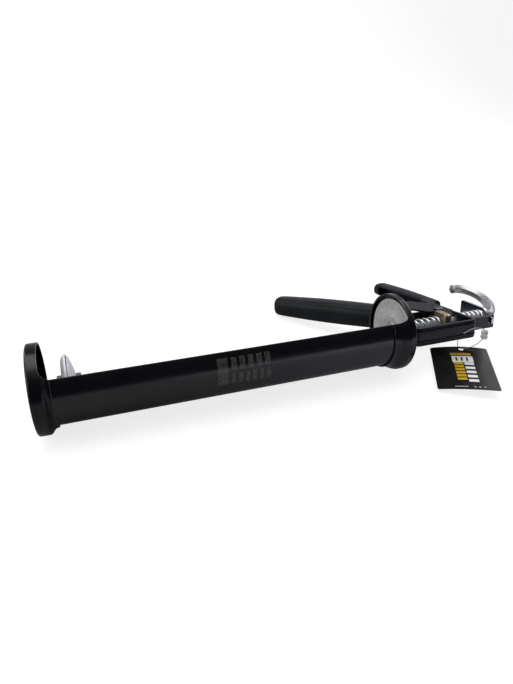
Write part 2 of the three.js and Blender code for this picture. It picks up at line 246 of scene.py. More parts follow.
def painted(name, dark, light, rough, gloss=0.5, coat=0.12, wear_and_highlight=0.35, bare_and_highlight_grey=0.09, marks=None,
            space=None):
    """Satin powder paint: orange peel, faint dust, and edges worn towards the grey of uncoated
    metal.
    Where that edge wear is made strong and light, as on the caps, it is also a painted highlight
    along their rims. marks makes an optional (mask, colour) in the frame space."""
    look = Look(name, space, Specular_IOR_Level=gloss, Coat_Weight=coat, Coat_Roughness=0.16)
    colour = look.mix(look.cloud(28, 4, low=0.35), dark, light)
    dust = look.span(look.noise(2600, 2), 0.66, 0.8, 0.0, 0.25)
    colour = look.mix(dust, colour, (0.06, 0.06, 0.065, 1))
    edge = look.sharp_edge(0.0006, 0.8, 0.99)
    # On the caps this edge line is strong and light: wear, and also a painted highlight along the
    # rims.
    colour = look.mix(look.sums("MULTIPLY", edge, wear_and_highlight), colour, (bare_and_highlight_grey, bare_and_highlight_grey * 0.98, bare_and_highlight_grey, 1))
    if marks:
        mask, ink = marks(look)
        colour = look.mix(mask, colour, ink)
    streaks = look.noise(65, 5, 0.6, look.stretched(0.4, 1, 1))
    smear = look.span(streaks, 0.3, 0.75, rough - 0.05, rough + 0.09)
    peel = look.bump(look.noise(950, 2), 0.09, 0.0002)
    grain = look.bump(look.noise(3800, 1), 0.05, 0.00006, peel)
    return look.finish(colour, smear, grain)


def bars(look, x, v, spans):
    """Mask that is 1 inside any of the rectangles, each (x0, x1, v0, v1), in metres, in a plane
    with coordinates x and v."""
    total = None
    for x0, x1, v0, v1 in spans:
        inside = None
        for value, low, high in ((x, x0, x1), (v, v0, v1)):
            middle = (low + high) / 2
            half = (high - low) / 2
            near = look.sums("COMPARE", value, middle, half)
            inside = near if inside is None else look.sums("MULTIPLY", inside, near)
        total = inside if total is None else look.sums("MAXIMUM", total, inside)
    return total


def tube_marks(look):
    """A worn grey print on the tube: a solid flag and two rows of plain strokes beside it."""
    x = look.coordinate("X")
    y = look.coordinate("Y")
    z = look.coordinate("Z")
    turn = look.sums("ARCTAN2", look.sums("MULTIPLY", y, -1.0), look.sums("MULTIPLY", z, -1.0))
    along = look.sums("MULTIPLY", turn, TUBE_R * MM)
    flag = [(0.1205, 0.1280, 0.0165, 0.0370)]
    strokes = [(0.1305 + 0.0062 * i, 0.1345 + 0.0062 * i, 0.0275, 0.0365) for i in range(5)]
    lower = [(0.1305 + 0.0052 * i, 0.1333 + 0.0052 * i, 0.0165, 0.0250) for i in range(6)]
    mask = bars(look, x, along, flag + strokes + lower)
    wear = look.span(look.noise(420, 4, 0.7), 0.36, 0.6, 0.35, 1.0)
    return look.sums("MULTIPLY", mask, wear), (0.082, 0.078, 0.074, 1)


def galvanised(name, dark, light, rough, scratch=1.0, metallic=1.0, fine=420, rims=False):
    """Bright zinc plate: cloudy, with fine scratches along x. With rims, a cross plate's cut sides
    are
    light grey: uncoated steel, and also a painted highlight on those edges."""
    look = Look(name, Metallic=metallic)
    colour = look.mix(look.cloud(60, 5, 0.6, high=0.72), dark, light)
    speck = look.span(look.noise(fine * 4, 3, 0.7), 0.6, 0.78, 0.0, 0.35)
    colour = look.mix(speck, colour, (dark[0] * 0.45, dark[1] * 0.45, dark[2] * 0.46, 1))
    if rims:
        normal = look.node("ShaderNodeTexCoord").outputs["Normal"]
        along = look.node("ShaderNodeSeparateXYZ", {"Vector": normal}).outputs["X"]
        # Cut sides made light grey: uncoated steel, and also a painted highlight on the edges.
        sheared_and_highlight = look.span(look.sums("ABSOLUTE", along), 0.55, 0.9, 1.0, 0.0)
        colour = look.mix(sheared_and_highlight, colour, (0.66, 0.67, 0.68, 1))
    hair = look.noise(fine, 3, 0.65, look.stretched(0.06, 1.6, 1.6))
    roughness = look.span(hair, 0.3, 0.75, rough - 0.08, rough + 0.12)
    normal = look.bump(hair, 0.22 * scratch, 0.00012)
    normal = look.bump(look.noise(fine * 2.2, 2), 0.08, 0.0001, normal)
    return look.finish(colour, roughness, normal)


def mottled_disc():
    """Cast-looking zinc of the retainer disc: sandy, light, with darker freckles."""
    look = Look("disc_zinc", Metallic=0.25)
    sand = look.cloud(820, 5, 0.72, 0.36, 0.66)
    colour = look.mix(sand, (0.34, 0.335, 0.33, 1), (0.7, 0.695, 0.68, 1))
    freckle = look.span(look.noise(1500, 3, 0.6), 0.64, 0.76, 0.0, 0.6)
    colour = look.mix(freckle, colour, (0.16, 0.155, 0.15, 1))
    stain = look.span(look.noise(95, 3), 0.45, 0.75, 0.0, 0.35)
    colour = look.mix(stain, colour, (0.30, 0.295, 0.28, 1))
    roughness = look.span(sand, 0.0, 1.0, 0.38, 0.6)
    return look.finish(colour, roughness, look.bump(sand, 0.35, 0.00018))


def bronzed():
    """Passivated zinc on the driver plates: brown to straw yellow."""
    look = Look("bronze_zinc", Metallic=0.85)
    colour = look.mix(look.cloud(140, 4, 0.6), (0.38, 0.29, 0.19, 1), (0.62, 0.53, 0.40, 1))
    edge = look.sharp_edge(0.0005, 0.82, 0.99)
    colour = look.mix(look.sums("MULTIPLY", edge, 0.6), colour, (0.62, 0.54, 0.42, 1))
    grain = look.noise(900, 3, 0.7)
    return look.finish(colour, look.span(grain, 0.3, 0.7, 0.28, 0.5), look.bump(grain, 0.2, 0.0001))


def printed_card():
    """Black laminated card with generic blocks of yellow and white, and no lettering. One side is
    lightened by a painted sheen.
    """
    look = Look("tag_card", TAG, Specular_IOR_Level=0.12)
    x = look.sums("SUBTRACT", look.coordinate("X"), TAG_HOLE_AT * MM)
    y = look.coordinate("Y")
    face = look.span(look.coordinate("Z"), 0.0004, 0.0005, 0.0, 1.0)
    cloud = look.cloud(45, 3)
    colour = look.mix(cloud, (0.004, 0.0035, 0.0035, 1), (0.010, 0.0095, 0.0095, 1))
    # Painted sheen: one side of the card is lightened towards a grey, broken up by the cloud.
    painted_sheen_side = look.span(x, 0.007, 0.014, 0.0, 1.0)
    wear_and_highlight = look.sums("MULTIPLY", painted_sheen_side, look.span(cloud, 0.0, 1.0, 0.7, 1.0))
    colour = look.mix(wear_and_highlight, colour, (0.042, 0.041, 0.042, 1))
    band = [(-0.0100, 0.0066, 0.0168, 0.0208)]
    panel = [(-0.0094, 0.0074, 0.0064, 0.0157)]
    panel_cuts = [(-0.0066 + 0.0042 * i, -0.0050 + 0.0042 * i, 0.0084, 0.0138) for i in range(3)]
    yellow_bars = [(-0.0086, -0.0014, 0.0030 - 0.0044 * i, 0.0060 - 0.0044 * i) for i in range(6)]
    white_bars = [(-0.0004, 0.0070, 0.0026 - 0.0060 * i, 0.0060 - 0.0060 * i) for i in range(5)]
    foot = [(-0.0122, -0.0022, -0.0285, -0.0276)]
    foot += [(0.0020 + 0.0036 * i, 0.0036 + 0.0036 * i, -0.0288, -0.0274) for i in range(3)]
    head = [(0.0036, 0.0108, 0.0254, 0.0262)]
    white = (0.86, 0.86, 0.86, 1)
    prints = [
        (band, (0.52, 0.33, 0.02, 1)),
        (panel, white),
        (panel_cuts, (0.05, 0.05, 0.05, 1)),
        (yellow_bars, (0.62, 0.40, 0.015, 1)),
        (white_bars, white),
        (foot, (0.42, 0.42, 0.42, 1)),
        (head, (0.22, 0.22, 0.22, 1)),
    ]
    for spans, ink in prints:
        colour = look.mix(look.sums("MULTIPLY", bars(look, x, y, spans), face), colour, ink)
    smear = look.span(look.noise(70, 4), 0.3, 0.7, 0.26, 0.42)
    weave = look.bump(look.noise(1100, 2), 0.05, 0.00008)
    return look.finish(colour, smear, look.bump(look.noise(55, 2), 0.25, 0.0006, weave))


def clear_nylon():
    """Milky nylon of the tag's loop and lock."""
    look = Look("nylon", IOR=1.5, Transmission_Weight=0.35)
    cloud = look.cloud(500, 3)
    colour = look.mix(cloud, (0.66, 0.68, 0.68, 1), (0.84, 0.86, 0.86, 1))
    grain = look.bump(look.noise(1600, 2), 0.1, 0.00006)
    return look.finish(colour, look.span(cloud, 0.0, 1.0, 0.22, 0.36), grain)


black = (0.0034, 0.0031, 0.0045, 1)
soft_black = (0.0058, 0.0052, 0.0075, 1)
tube_paint = painted("tube_paint", black, soft_black, 0.21, marks=tube_marks, space=CRADLE)
# The caps' edges are worn hard, the nose cap's to a light grey: wear, and also a painted highlight
# along their rims.
cap_paint = painted("cap_paint", black, soft_black, 0.22, gloss=0.36, coat=0.08, wear_and_highlight=1.0)
nose_paint = painted("nose_paint", black, soft_black, 0.22, gloss=0.32, coat=0.06, wear_and_highlight=0.9,
                     bare_and_highlight_grey=0.3)
frame_dark = (0.0040, 0.0035, 0.0062, 1)
frame_light = (0.0076, 0.0064, 0.0112, 1)
grip_dark = (0.0062, 0.0074, 0.0082, 1)
grip_light = (0.0120, 0.0145, 0.0155, 1)
# Paint of the release tongue: a lighter grey than the frame's.
tongue_grey_dark = (0.014, 0.0135, 0.015, 1)
tongue_grey_light = (0.075, 0.072, 0.076, 1)
frame_paint = painted("frame_paint", frame_dark, frame_light, 0.24, gloss=0.22, coat=0.05)
grip_paint = painted("grip_paint", grip_dark, grip_light, 0.38, gloss=0.13, coat=0.0)
grey_paint = painted("grey_frame_paint", tongue_grey_dark, tongue_grey_light, 0.42, gloss=0.3)
bright_zinc = galvanised("bright_zinc", (0.34, 0.35, 0.36, 1), (0.55, 0.56, 0.57, 1), 0.28)
rod_zinc = galvanised("rod_zinc", (0.34, 0.35, 0.34, 1), (0.55, 0.56, 0.55, 1), 0.3, scratch=0.8)
spring_zinc = galvanised("spring_zinc", (0.62, 0.64, 0.66, 1), (0.86, 0.88, 0.90, 1), 0.24,
                         scratch=0.6, metallic=0.85, fine=900)
# Painted shade: the release plate's zinc is a dark blue-grey that stands in for the shade on its
# face; its light cut sides are also partly a painted highlight.
release_zinc_painted_shade = galvanised("release_zinc_painted_shade", (0.045, 0.050, 0.070, 1), (0.12, 0.13, 0.17, 1), 0.30,
                          rims=True)
piston_zinc = galvanised("piston_zinc", (0.80, 0.82, 0.84, 1), (0.90, 0.92, 0.94, 1), 0.46,
                         scratch=0.6, metallic=0.12)
dark_zinc = galvanised("dark_zinc", (0.05, 0.05, 0.055, 1), (0.14, 0.14, 0.15, 1), 0.34)
disc_zinc = mottled_disc()
bronze_zinc = bronzed()
tag_card = printed_card()
nylon = clear_nylon()

# ---------------------------------------------------------------- meshes


def loft(rings, loop=False):
    """A closed skin over rings of points, in millimetres. A loop joins its last ring to its
    first."""
    skin = bmesh.new()
    rows = [[skin.verts.new(Vector(point) * MM) for point in ring] for ring in rings]
    pairs = list(zip(rows, rows[1:]))
    if loop:
        pairs.append((rows[-1], rows[0]))
    for a, b in pairs:
        for i in range(len(a)):
            j = (i + 1) % len(a)
            skin.faces.new((a[i], a[j], b[j], b[i]))
    if not loop:
        skin.faces.new(rows[0][::-1])
        skin.faces.new(rows[-1])
    bmesh.ops.recalc_face_normals(skin, faces=skin.faces)
    return skin


def lathe(outline, steps=120):
    """A closed outline of (x, radius) points, revolved about the rod's axis."""
    angles = [TAU * i / steps for i in range(steps)]
    rings = [[(x, r * math.cos(a), r * math.sin(a)) for x, r in outline] for a in angles]
    return loft(rings, loop=True)


def ring(x0, x1, inner, outer, steps=96):
    return lathe([(x0, inner), (x1, inner), (x1, outer), (x0, outer)], steps)


def rounded(corners, radius, steps=6):
    """A polygon's corners, each turned into an arc. radius is one number, or a list with one for
    each corner."""
    radii = radius if isinstance(radius, list) else [radius] * len(corners)
    points = []
    for i, (corner, r) in enumerate(zip(corners, radii)):
        here = Vector(corner)
        before = (Vector(corners[i - 1]) - here).normalized()
        after = (Vector(corners[(i + 1) % len(corners)]) - here).normalized()
        half = math.acos(max(-1, min(1, before.dot(after)))) / 2
        if r <= 0 or half > 1.5:
            points.append(here)
            continue
        reach = r / math.tan(half)
        middle = here + (before + after).normalized() * (r / math.sin(half))
        start = here + before * reach - middle
        turn = (here + after * reach - middle).angle_signed(start)
        points += [middle + Matrix.Rotation(turn * k / steps, 2) @ start for k in range(steps + 1)]
    return points


def slab(outline, z0, z1):
    """An outline in x and y, extruded across from z0 to z1."""
    return loft([[(x, y, z) for x, y in outline] for z in (z0, z1)])


def plate(outline, x0, x1):
    """An outline in y and z, extruded along x."""
    return loft([[(x, y, z) for y, z in outline] for x in (x0, x1)])


def rectangle(y0, y1, z0, z1):
    return [(y0, z0), (y1, z0), (y1, z1), (y0, z1)]


def cylinder(a, b, radius, steps=40):
    """A round bar from point a to point b."""
    start = Vector(a)
    along = Vector(b) - start
    spin = along.to_track_quat("Z", "Y").to_matrix()
    angles = [TAU * i / steps for i in range(steps)]
    circle = [spin @ Vector((radius * math.cos(a), radius * math.sin(a), 0)) for a in angles]
    return loft([[start + p for p in circle], [start + along + p for p in circle]])


def moved(skin, matrix):
    bmesh.ops.transform(skin, matrix=matrix, verts=skin.verts)
    return skin


def shift(x, y, z):
    return Matrix.Translation((x * MM, y * MM, z * MM))


def object_from(name, skins, place=STILL):
    whole = bmesh.new()
    scratch = bpy.data.meshes.new("scratch")
    for skin in skins:
        skin.to_mesh(scratch)
        skin.free()
        whole.from_mesh(scratch)
    bpy.data.meshes.remove(scratch)
    mesh = bpy.data.meshes.new(name)
    moved(whole, place).to_mesh(mesh)
    whole.free()
    obj = bpy.data.objects.new(name, mesh)
    bpy.context.scene.collection.objects.link(obj)
    return obj


def carved(skin, cutters):
    """skin with each cutter taken away from it."""
    body = object_from("carved", [skin])
    tools = [object_from("cutter", [cutter]) for cutter in cutters]
    for tool in tools:
        step = body.modifiers.new("carve", "BOOLEAN")
        step.solver = "EXACT"
        step.operation = "DIFFERENCE"
        step.object = tool
    result = bmesh.new()
    result.from_object(body, bpy.context.evaluated_depsgraph_get())
    for obj in [body, *tools]:
        mesh = obj.data
        bpy.data.objects.remove(obj)
        bpy.data.meshes.remove(mesh)
    bmesh.ops.remove_doubles(result, verts=result.verts, dist=1e-7)
    return result


def piece(name, skins, place, look, body, nodes=(), edge=0.25):
    """A finished piece: its skins as one mesh, with rounded edges and smooth shading, riding on its
    body. edge is the rounding's width in millimetres."""
    obj = object_from(name, skins, place)
    obj.data.materials.append(look)
    for face in obj.data.polygons:
        face.use_smooth = True
    if edge:
        bevel = obj.modifiers.new("edges", "BEVEL")
        bevel.width = edge * MM
        bevel.segments = 2
        bevel.limit_method = "ANGLE"
        bevel.angle_limit = math.radians(35)
        bevel.harden_normals = True
    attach(obj, body)
    if nodes:
        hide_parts(*nodes)
    return obj


def smooth_curve(points, steps):
    """A Catmull-Rom curve through the points, with steps spans between each pair."""
    ends = [points[0] * 2 - points[1], *points, points[-1] * 2 - points[-2]]
    out = []
    for a, b, c, d in zip(ends, ends[1:], ends[2:], ends[3:]):
        for k in range(steps):
            t = k / steps
            out.append(0.5 * (2 * b + (c - a) * t + (2 * a - 5 * b + 4 * c - d) * t * t
                              + (3 * b - a - 3 * c + d) * t ** 3))
    return [*out, points[-1]]


# ---------------------------------------------------------------- the tag's loop, the one cord

# From the lock over the frame's edge, through its small hole, through the card's hole and back.
# Metres, in the frame HUNG.
LOOP_ROUTE = [
    (0.3485, -0.0255, 0.0008), (0.3464, -0.0255, 0.0022), (0.3438, -0.0254, 0.0032),
    (0.3404, -0.0252, 0.0040), (0.3370, -0.0251, 0.0040), (0.3340, -0.0251, 0.0035),
    (0.3314, -0.0252, 0.0027), (0.3293, -0.0252, 0.0017), (0.3281, -0.0244, 0.0009),
    (0.3280, -0.0224, 0.0000), (0.3280, -0.0206, -0.0010), (0.3281, -0.0196, -0.0024),
    (0.3288, -0.0193, -0.0046), (0.3304, -0.0176, -0.0078), (0.3340, -0.0134, -0.0126),
    (0.3384, -0.0088, -0.0178), (0.3422, -0.0054, -0.0214), (0.3436, -0.0045, -0.0240),
    (0.3426, -0.0072, -0.0261), (0.3410, -0.0097, -0.0242), (0.3411, -0.0110, -0.0221),
    (0.3438, -0.0118, -0.0220), (0.3475, -0.0123, -0.0218), (0.3516, -0.0124, -0.0210),
    (0.3542, -0.0132, -0.0194), (0.3546, -0.0154, -0.0166), (0.3536, -0.0186, -0.0128),
    (0.3525, -0.0218, -0.0090),
]


def tag_loop():
    points = smooth_curve([HUNG @ Vector(p) for p in LOOP_ROUTE], 4)
    data = bpy.data.curves.new("nylon_loop", "CURVE")
    data.dimensions = "3D"
    data.bevel_depth = LOOP_DIAMETER / 2
    data.bevel_resolution = 3
    data.use_fill_caps = True
    line = data.splines.new("POLY")
    line.points.add(len(points) - 1)
    for point, at in zip(line.points, points):
        point.co = (*at, 1)
    data.materials.append(nylon)
    obj = bpy.data.objects.new("nylon_loop", data)
    bpy.context.scene.collection.objects.link(obj)
    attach(obj, "gun_frame")
    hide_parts("tag_loop")
    length = sum((b - a).length for a, b in zip(points, points[1:]))
    return obj, points[0], length


def loop_lock():
    """A small two-lobed lock that holds both ends of the loop."""
    radius, half, flat = 3.4, 1.1, 0.7
    count = 24
    angles = [TAU * k / 28 for k in range(28)]
    rings = []
    for i in range(1, count):
        t = -1 + 2 * i / count
        reach = (half + radius) * t
        beyond = max(0.0, abs(reach) - half)
        waist = 1 - 0.24 * math.exp(-(t / 0.22) ** 2)
        width = math.sqrt(max(0.02, radius ** 2 - beyond ** 2)) * waist
        rings.append([(width * math.cos(a), reach, flat * width * math.sin(a)) for a in angles])
    return piece("loop_lock", [loft(rings)], LOCK, nylon, "gun_frame", ["tag_lock"],
                 edge=0)


loop, loop_start, loop_length = tag_loop()
lock = loop_lock()

# ---------------------------------------------------------------- cradle


def half_pipe_section(radius, wall, steps=96):
    """Section of the half tube in y and z, open towards +z, with round edges."""
    def polar(r, a):
        return (r * math.cos(a), r * math.sin(a))

    lip = wall / 2
    outer = [polar(radius, math.pi + math.pi * i / steps) for i in range(steps + 1)]
    inner = [polar(radius - wall, TAU - math.pi * i / steps) for i in range(steps + 1)]
    turns = [math.pi * i / 6 for i in range(1, 6)]
    right = [(radius - lip + lip * math.cos(a), lip * math.sin(a)) for a in turns]
    left = [(lip - radius + lip * math.cos(a), lip * math.sin(a)) for a in turns]
    return outer + right + inner + left


def cradle_tube():
    """The half tube, with a barely uneven wall."""
    section = half_pipe_section(TUBE_R, TUBE_WALL)
    start, end, count = SHEET + CLEAR, CRADLE_LENGTH - 4, 60
    rings = []
    for i in range(count + 1):
        x = start + (end - start) * i / count
        ease = 1 + 0.0011 * math.sin(x / 17) * math.sin(x / 41 + 1)
        rings.append([(x, y * ease, z) for y, z in section])
    piece("half_tube", [loft(rings)], CRADLE, tube_paint, "cradle", ["cradle_tube"],
          edge=0.2)


def open_reach(rim, corner, extra, z):
    """How deep a cap reaches at height z: its rim over the opening, sweeping down to the tube's
    edge and on round the tube."""
    if z >= corner:
        return rim
    if z >= 0:
        return rim + corner * (1 - math.sqrt(z / corner)) ** 2
    share = min(1.0, -z / 1.2)
    return rim + corner + extra * share * share * (3 - 2 * share)


def cup(skirt, face, reach, to_x, steps=288, rows=30):
    """A pressed cup. face is its flat side's (depth, radius) points out from the hole, skirt the
    rest, as deep as it goes. reach(z) is where the skirt ends, and to_x turns a depth into x."""
    rings = []
    for i in range(steps):
        a = TAU * i / steps
        line = cut_short(skirt, reach(skirt[0][1] * math.sin(a)))
        outer = face + resampled(line, rows)
        profile = outer + offset(outer, SHEET)[::-1]
        rings.append([(to_x(d), r * math.cos(a), r * math.sin(a)) for d, r in profile])
    return loft(rings, loop=True)


def cut_short(skirt, depth):
    """The skirt's (depth, radius) points as far as the depth."""
    end = next((k for k, (d, _) in enumerate(skirt) if d > depth), len(skirt))
    if end == len(skirt):
        return skirt
    (d0, r0), (d1, r1) = skirt[end - 1], skirt[end]
    return [*skirt[:end], (depth, r0 + (r1 - r0) * (depth - d0) / (d1 - d0))]


def resampled(line, count):
    """The line as count points at even spacing."""
    lengths = [0.0]
    for a, b in zip(line, line[1:]):
        lengths.append(lengths[-1] + math.dist(a, b))
    out = []
    k = 0
    for i in range(count):
        want = lengths[-1] * i / (count - 1)
        while k < len(line) - 2 and lengths[k + 1] < want:
            k += 1
        t = (want - lengths[k]) / max(1e-9, lengths[k + 1] - lengths[k])
        out.append(tuple(p + (q - p) * t for p, q in zip(line[k], line[k + 1])))
    return out


def offset(line, wall):
    """The line moved sideways by the wall, towards the inside of the cup."""
    out = []
    for i, point in enumerate(line):
        before = Vector(line[max(0, i - 1)])
        after = Vector(line[min(len(line) - 1, i + 1)])
        along = (after - before).normalized()
        out.append(tuple(Vector(point) + Vector((along.y, -along.x)) * wall))
    return out


def pressed_corner(radius, bend=1.6, steps=7):
    """The round corner between a cup's face and its skirt."""
    return [(bend - bend * math.cos(a), radius - bend + bend * math.sin(a))
            for a in (math.pi / 2 * i / steps for i in range(steps + 1))]


def eased(points, steps=10):
    """A smooth line through (depth, radius) points."""
    return [tuple(p) for p in smooth_curve([Vector(p) for p in points], steps)]


def front_cap():
    over = TUBE_R + CLEAR + SHEET
    hole = NOZZLE_HOLE_R
    corner = pressed_corner(CAP_R)
    face = [(0.5, hole), (0.12, hole + 0.35), (0, hole + 0.9), (0, 14), (0.0, 15.4),
            (0.3, 16.2), (0.3, 20), (0.0, 21), (0, 24.5), *corner[:-1]]
    skirt = eased([corner[-1], (5, CAP_R), (7.5, CAP_R), (8.7, CAP_R - 0.6), (10, over + 1.5),
                   (11.2, over + 0.35), (13.2, over)])
    skin = cup(skirt, face, lambda z: open_reach(7.5, 7.5, 0, z), lambda d: d)
    piece("nose_cap", [skin], CRADLE, nose_paint, "cradle", ["front_cap"], edge=0.3)


def rear_cap():
    over = TUBE_R + CLEAR + SHEET
    corner = pressed_corner(CAP_R)
    face = [(0, BUSH_R + CLEAR), (0, 11), (0, 13), (0.35, 13.9), (0.35, 19.5), (0.0, 20.4),
            (0, 26), *corner[:-1]]
    skirt = eased([corner[-1], (4, CAP_R), (5.4, CAP_R), (7.7, CAP_R - 0.9), (9.4, over + 2.1),
                   (11.2, over + 1.05), (13.4, over + 0.35), (15.2, over + 0.05), (17.6, over)])
    skin = cup(skirt, face, lambda z: open_reach(5.2, 6, 6, z), lambda d: CRADLE_LENGTH - d)
    piece("swivel_cap", [skin], CRADLE, cap_paint, "cradle", ["rear_cap"], edge=0.3)


def retainer_disc():
    """A zinc disc with a raised ring, a dished rim and three stamped pips."""
    x = CRADLE_LENGTH - 3.4
    bore = BUSH_R + CLEAR
    outline = [(x, bore), (x, 10.6), (x - 0.45, 11.5), (x - 0.45, 14.2), (x, 15.2), (x, 24.4),
               (x - 0.3, 25.4), (x - 0.25, 26.6), (x + 0.1, 27), (x + 1.0, 27), (x + 1.2, 26.6),
               (x + 1.2, bore)]
    dome = [(-0.5, 0.02), (-0.5, 0.9), (-0.25, 1.4), (0.2, 1.6), (0.2, 0.02)]
    reach = 19.8
    turns = [TAU * (i / 3 + 0.21) for i in range(3)]
    spots = [shift(x, reach * math.cos(a), reach * math.sin(a)) for a in turns]
    pips = [moved(lathe(dome, 24), spot) for spot in spots]
    piece("zinc_disc", [lathe(outline, 144), *pips], CRADLE, disc_zinc, "cradle", ["retainer_disc"],
          edge=0.15)


# ---------------------------------------------------------------- frame, handle and trigger


def swivel():
    """The bush that the cradle turns on, and the washer between cradle and frame."""
    head = CRADLE_LENGTH - 4.8
    wall = FRAME_FRONT + STRAP
    r = BUSH_R
    bush = lathe([(head, ROD_BORE), (head, r + 0.8), (head + 0.4, r + 1.2), (head + 1.1, r + 1.2),
                  (head + 1.1, r), (wall + CLEAR, r), (wall + CLEAR, r + 2.5),
                  (wall + 1.4, r + 2.5), (wall + 1.8, r + 2), (wall + 1.8, ROD_BORE)], 72)
    piece("swivel_bushing", [bush], GUN, bright_zinc, "gun_frame", ["swivel_bush"],
          edge=0.15)
    washer = ring(CRADLE_LENGTH + CLEAR, FRAME_FRONT - CLEAR, r + CLEAR, 12)
    piece("washer", [washer], GUN, bright_zinc, "gun_frame", ["thrust_washer"],
          edge=0.3)


def strap_path():
    """Middle line of the frame's strap as points with their outward normals, in x and y."""
    wall = STRAP / 2
    x0, x1 = FRAME_FRONT + wall, FRAME_REAR - wall
    y0, y1 = FRAME_TOP + wall, FRAME_BOTTOM - wall
    corners = [(x0, y0), (x1, y0), (x1, y1), (x0, y1)]
    bends = rounded(corners, 3.4, 8)
    path = []
    for a, b in zip(bends, bends[1:] + bends[:1]):
        runs = max(1, round((b - a).length / 3))
        path += [a.lerp(b, k / runs) for k in range(runs)]
    out = []
    for i, point in enumerate(path):
        along = (path[(i + 1) % len(path)] - path[i - 1]).normalized()
        out.append((point, Vector((along.y, -along.x))))
    return out


def strap_loop():
    """The strap bent round into a closed frame, with two long beads pressed into it. It is slimmer
    where it lies between the trigger's cheeks."""
    rings = []
    for point, outward in strap_path():
        slim = min(1.0, max(0.0, (point.y - 6.5) / 3)) if point.x > FRAME_FRONT + 5 else 0.0
        half = STRAP_HALF - (STRAP_HALF - SLIM_HALF) * slim
        across = [half * k / 14 for k in range(-14, 15)]
        skin = []
        for side in (1, -1):
            for z in across[::side]:
                bead = 0.3 * math.exp(-((abs(z) - 4.2) / 0.9) ** 2)
                fall = 0.25 * (abs(z) / half) ** 6
                out = side * STRAP / 2 + bead - fall - 0.05
                skin.append((point.x + outward.x * out, point.y + outward.y * out, z))
        rings.append(skin)
    return loft(rings, loop=True)


def pin_hole(reach):
    """A cutter for the trigger pin's hole, with its reach to each side."""
    return cylinder((*PIVOT, -reach), (*PIVOT, reach), PIN_R + CLEAR)


def strap_frame():
    """The strap loop with its tail, its two lugs for the trigger's pin, and the tongue behind."""
    front, rear = FRAME_FRONT, FRAME_REAR
    bores = [cylinder((front - 1, 0, 0), (front + 4, 0, 0), BUSH_R + CLEAR),
             cylinder((rear - 4, 0, 0), (rear + 1, 0, 0), ROD_BORE),
             cylinder((328, -27, -2.3), (328, -20, -2.3), 1.2)]
    loop_skin = carved(strap_loop(), bores)
    tail = slab(rounded(rectangle(rear - STRAP, rear, 15, 41), 0.3, 2), -SLIM_HALF, SLIM_HALF)
    corners = [(327.5, 19.4), (327.5, 12), (330, 9.2), (334.5, 9.2), (337.5, 19.4)]
    outline = rounded(corners, [0, 2, 2.4, 2.4, 0])
    lugs = [carved(slab(outline, z, z + 1.8), [pin_hole(10)]) for z in (4.2, -6)]
    piece("strap_frame", [loop_skin, tail, *lugs], GUN, frame_paint, "gun_frame", ["frame"],
          edge=0.35)
    flap = slab(rectangle(rear - 1.8, 370.4, -11.5, -9.3), -7, 4)
    slot = slab(rectangle(365.1, 369.1, -14, -7), -3.2, 3.2)
    piece("release_tongue", [carved(flap, [slot])], GUN, grey_paint, "gun_frame",
          edge=0.5)


def bar(line, radii, side, wall, height, groove, steps=56):
    """A pressed grip: an oval bar along a line, with a groove along each flank, hollowed on one
    side. radii are (place, radius) points, with the place from 0 to 1."""
    start, end = Vector(line[0]), Vector(line[1])
    along = end - start
    length = along.length
    rings = []
    for t, r in eased(radii, 12):
        fade = min(1.0, 8 * t, 9 * (1 - t))
        section = []
        for k in range(steps):
            a = TAU * k / steps
            c, s = math.cos(a), math.sin(a)
            full = 1 / (abs(c) ** SQUARENESS + abs(s) ** SQUARENESS) ** (1 / SQUARENESS)
            dent = groove * math.exp(-((abs(s) - 0.97) / 0.12) ** 2) * fade
            reach = r * full - dent
            section.append((t * length, reach * c, height * reach * s))
        rings.append(section)
    middle_r = radii[2][1]
    deep = height * middle_r - wall
    trough = rounded(rectangle(side * -2.5, side * 30, -deep, deep), 2.0)
    skin = carved(loft(rings), [plate(trough, 6, length - 9.5)])
    turn = Matrix.Rotation(math.atan2(along.y, along.x), 4, "Z")
    return moved(skin, shift(start.x, start.y, 0) @ turn)


def handle():
    """The fixed grip, with its neck riveted to the back of the frame."""
    radii = [(0, 6.6), (0.03, 8.0), (0.5, 9.2), (0.93, 8.7), (0.975, 7.6), (0.992, 5.9), (1, 3.2)]
    grip = bar(HANDLE_LINE, radii, 1, 2.2, 0.73, 0.7)
    front = FRAME_REAR + CLEAR
    corners = [(front, 10.5), (NECK_BACK, 10.5), (NECK_BACK, 38), (353, 44), (353, 52), (front, 55)]
    neck = slab(rounded(corners, [1.2, 1.2, 4, 3, 3, 3]), -SLIM_HALF, SLIM_HALF)
    recess = rounded(rectangle(344.2, 347, 13, 36), 0.6)
    dent = slab(recess, -3.6, 3.6)
    piece("rear_grip", [grip, carved(neck, [dent])], GUN, grip_paint, "gun_frame", ["handle"],
          edge=0.5)
    for i, y in enumerate(RIVETS, 1):
        rivet(f"rivet_{i}", y, f"handle_rivet_{i}")


def rivet(name, y, node):
    """A rivet along x with a dome on each end: (height, radius) points out from its flat."""
    dome = [(0, 3.8), (0.4, 3.6), (1.1, 2.9), (1.55, 1.6), (1.6, 0.03)]
    front = FRAME_REAR - STRAP - CLEAR
    back = NECK_BACK + CLEAR
    head = [(front - height, r) for height, r in dome[::-1]]
    tail = [(back + height, r) for height, r in dome]
    outline = head + [(front, RIVET_R), (back, RIVET_R)] + tail
    skin = moved(lathe(outline, 36), shift(0, y, 0))
    piece(name, [skin], GUN, bright_zinc, "gun_frame", [node], edge=0.12)


